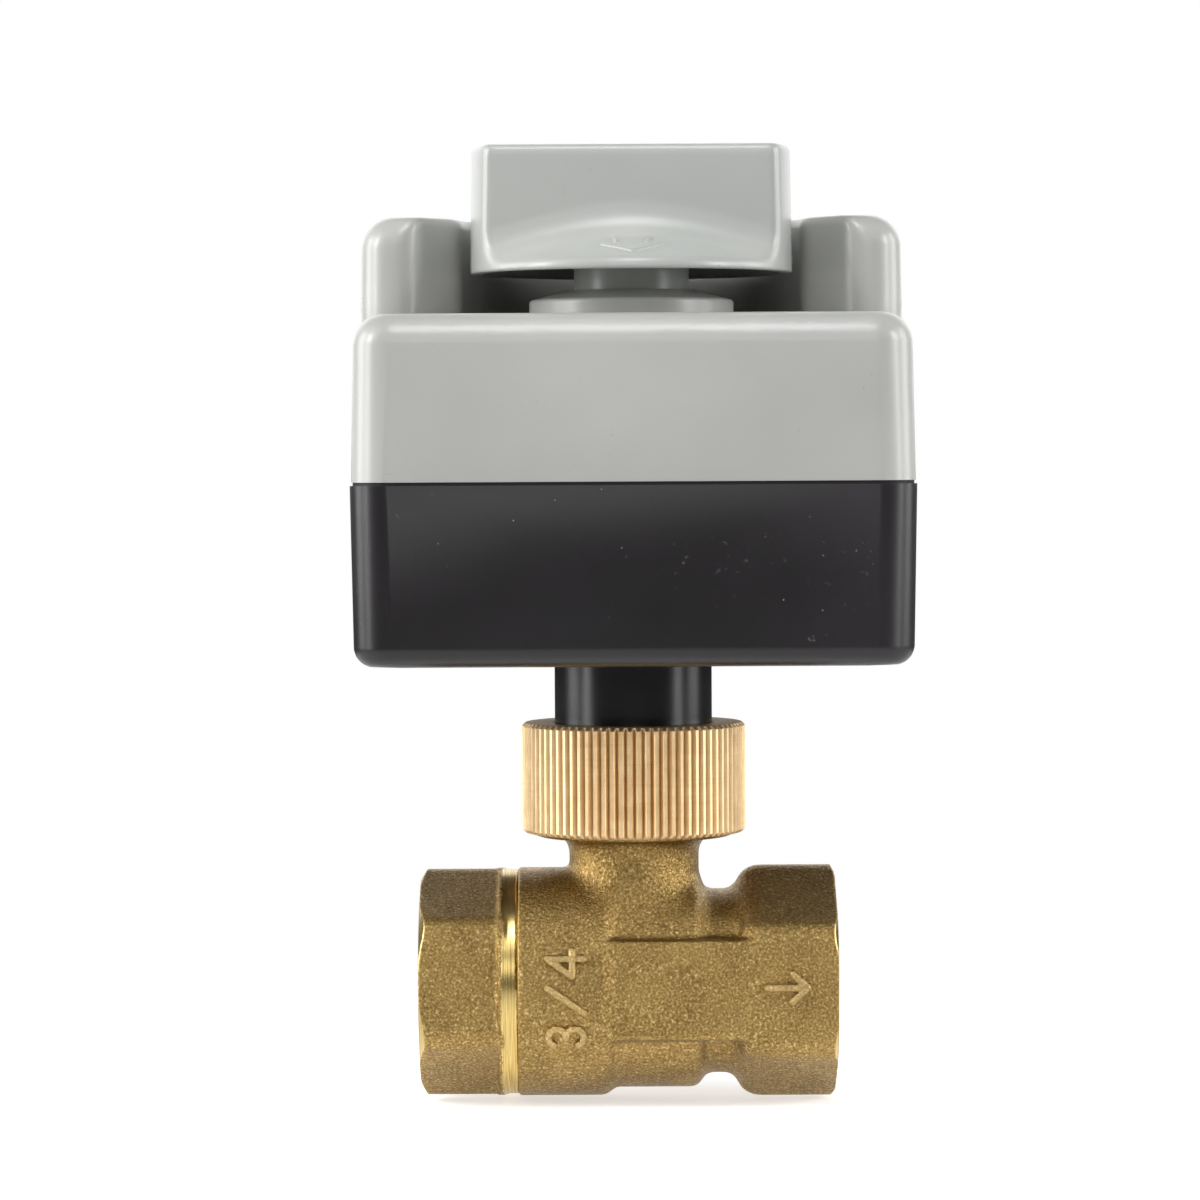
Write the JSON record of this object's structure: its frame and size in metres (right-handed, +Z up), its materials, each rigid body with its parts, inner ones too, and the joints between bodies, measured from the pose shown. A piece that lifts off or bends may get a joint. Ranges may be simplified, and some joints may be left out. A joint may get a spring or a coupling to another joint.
{
  "type": "motorized ball valve",
  "caption": "Brass ball valve with female pipe threads, a knurled union nut and an electric actuator housing whose press-and-turn knob works the valve by hand.",
  "frame": {"origin": "centre of the inlet port's mouth, on the pipe's axis", "axes": "+X along the pipe from inlet to outlet, +Z up along the stem towards the knob, -Y the front, where the low deck is"},
  "size_m": [0.0818, 0.0938, 0.1426],
  "materials": {
    "cast_brass": "sand-cast, rough",
    "turned_brass": "turned, bright",
    "black_abs": "moulded, satin",
    "grey_abs": "moulded, satin",
    "steel": "zinc plated",
    "chromed_brass": "polished",
    "ptfe": "smooth",
    "rubber": "smooth",
    "acetal": "smooth",
    "board": "solder mask",
    "switch_black": "moulded",
    "terminal_green": "moulded",
    "aluminium": "drawn"
  },
  "bodies": {
    "root": {"valve_body": "cast_brass", "tailpiece": "cast_brass", "tailpiece_seal": "ptfe", "seat_rings": "ptfe", "stem_washer": "ptfe", "base_housing": "black_abs", "housing_gasket": "rubber", "cover": "grey_abs", "housing_screws": "steel", "knob_collar": "grey_abs", "collar_circlip": "steel", "spindle_bush": "acetal", "motor": "steel", "motor_screws": "steel", "gear_plate": "steel", "plate_screws": "steel", "open_switch": "switch_black", "closed_switch": "switch_black", "switch_screws": "steel", "circuit_board": "board", "board_screws": "steel", "terminal_block": "terminal_green", "terminal_screws": "steel", "relay": "switch_black", "capacitor": "aluminium", "gland_body": "black_abs", "gland_locknut": "black_abs", "gland_cap": "black_abs", "gland_seal": "rubber"},
    "ball_and_stem": {"ball": "chromed_brass", "valve_stem": "turned_brass", "stem_o_rings": "rubber"},
    "output_shaft": {"spindle": "turned_brass", "spindle_clip": "steel", "open_cam": "acetal", "closed_cam": "acetal", "spring_washer": "steel", "return_spring": "steel"},
    "knob": {"manual_knob": "grey_abs", "knob_stop_ring": "steel", "output_gear": "acetal"},
    "motor_drive": {"motor_shaft": "steel", "motor_pinion": "acetal"},
    "open_lever": {"open_switch_lever": "steel"},
    "closed_lever": {"closed_switch_lever": "steel"},
    "open_plunger": {"open_switch_plunger": "acetal"},
    "closed_plunger": {"closed_switch_plunger": "acetal"},
    "nut_ring": {"nut_friction_ring": "rubber"},
    "nut": {"union_nut": "turned_brass"}
  },
  "joints": [
    {"name": "spindle_turn", "type": "hinge", "parent": "root", "child": "output_shaft", "pos_m": [0.032, 0, 0.0513], "axis": [0, 0, -1], "range_deg": [0, 90]},
    {"name": "ball_turn", "type": "hinge", "parent": "root", "child": "ball_and_stem", "pos_m": [0.032, 0, 0], "axis": [0, 0, -1], "range_deg": [0, 90]},
    {"name": "knob_press", "type": "slide", "parent": "output_shaft", "child": "knob", "axis": [0, 0, -1], "range_m": [0, 0.005], "stiffness_N_per_m": 1200, "springref_m": -0.002, "deforming": ["return_spring"]},
    {"name": "motor_turn", "type": "hinge", "parent": "root", "child": "motor_drive", "pos_m": [0.032, 0.024, 0.0742], "axis": [0, 0, -1], "range_deg": [-180, 0]},
    {"name": "open_lever_tilt", "type": "hinge", "parent": "root", "child": "open_lever", "pos_m": [0.04215, -0.009, 0.05645], "axis": [0, 0, 1], "range_deg": [0, 7.67]},
    {"name": "closed_lever_tilt", "type": "hinge", "parent": "root", "child": "closed_lever", "pos_m": [0.02185, 0.009, 0.05995], "axis": [0, 0, -1], "range_deg": [0, 7.67]},
    {"name": "open_plunger_slide", "type": "slide", "parent": "root", "child": "open_plunger", "axis": [-1, 0, 0], "range_m": [0, 0.0005343]},
    {"name": "closed_plunger_slide", "type": "slide", "parent": "root", "child": "closed_plunger", "axis": [-1, 0, 0], "range_m": [0, 0.0005343]},
    {"name": "nut_lift", "type": "slide", "parent": "root", "child": "nut_ring", "axis": [0, 0, 1], "range_m": [0, 0.009]},
    {"name": "nut_spin", "type": "hinge", "parent": "nut_ring", "child": "nut", "pos_m": [0.032, 0, 0.03], "axis": [0, 0, 1], "range_deg": [0, 2160]}
  ],
  "couplings": [
    {"joint": "ball_turn", "follows": "spindle_turn", "ratio": 1},
    {"joint": "motor_turn", "follows": "spindle_turn", "ratio": -2},
    {"joint": "open_lever_tilt", "follows": "spindle_turn", "ratio": 0.085136},
    {"joint": "closed_lever_tilt", "follows": "spindle_turn", "ratio": 0.085136},
    {"joint": "open_plunger_slide", "follows": "spindle_turn", "m_per_rad": 0.00033953},
    {"joint": "closed_plunger_slide", "follows": "spindle_turn", "m_per_rad": 0.00033953},
    {"joint": "nut_lift", "follows": "nut_spin", "m_per_rad": 0.00023873}
  ]
}
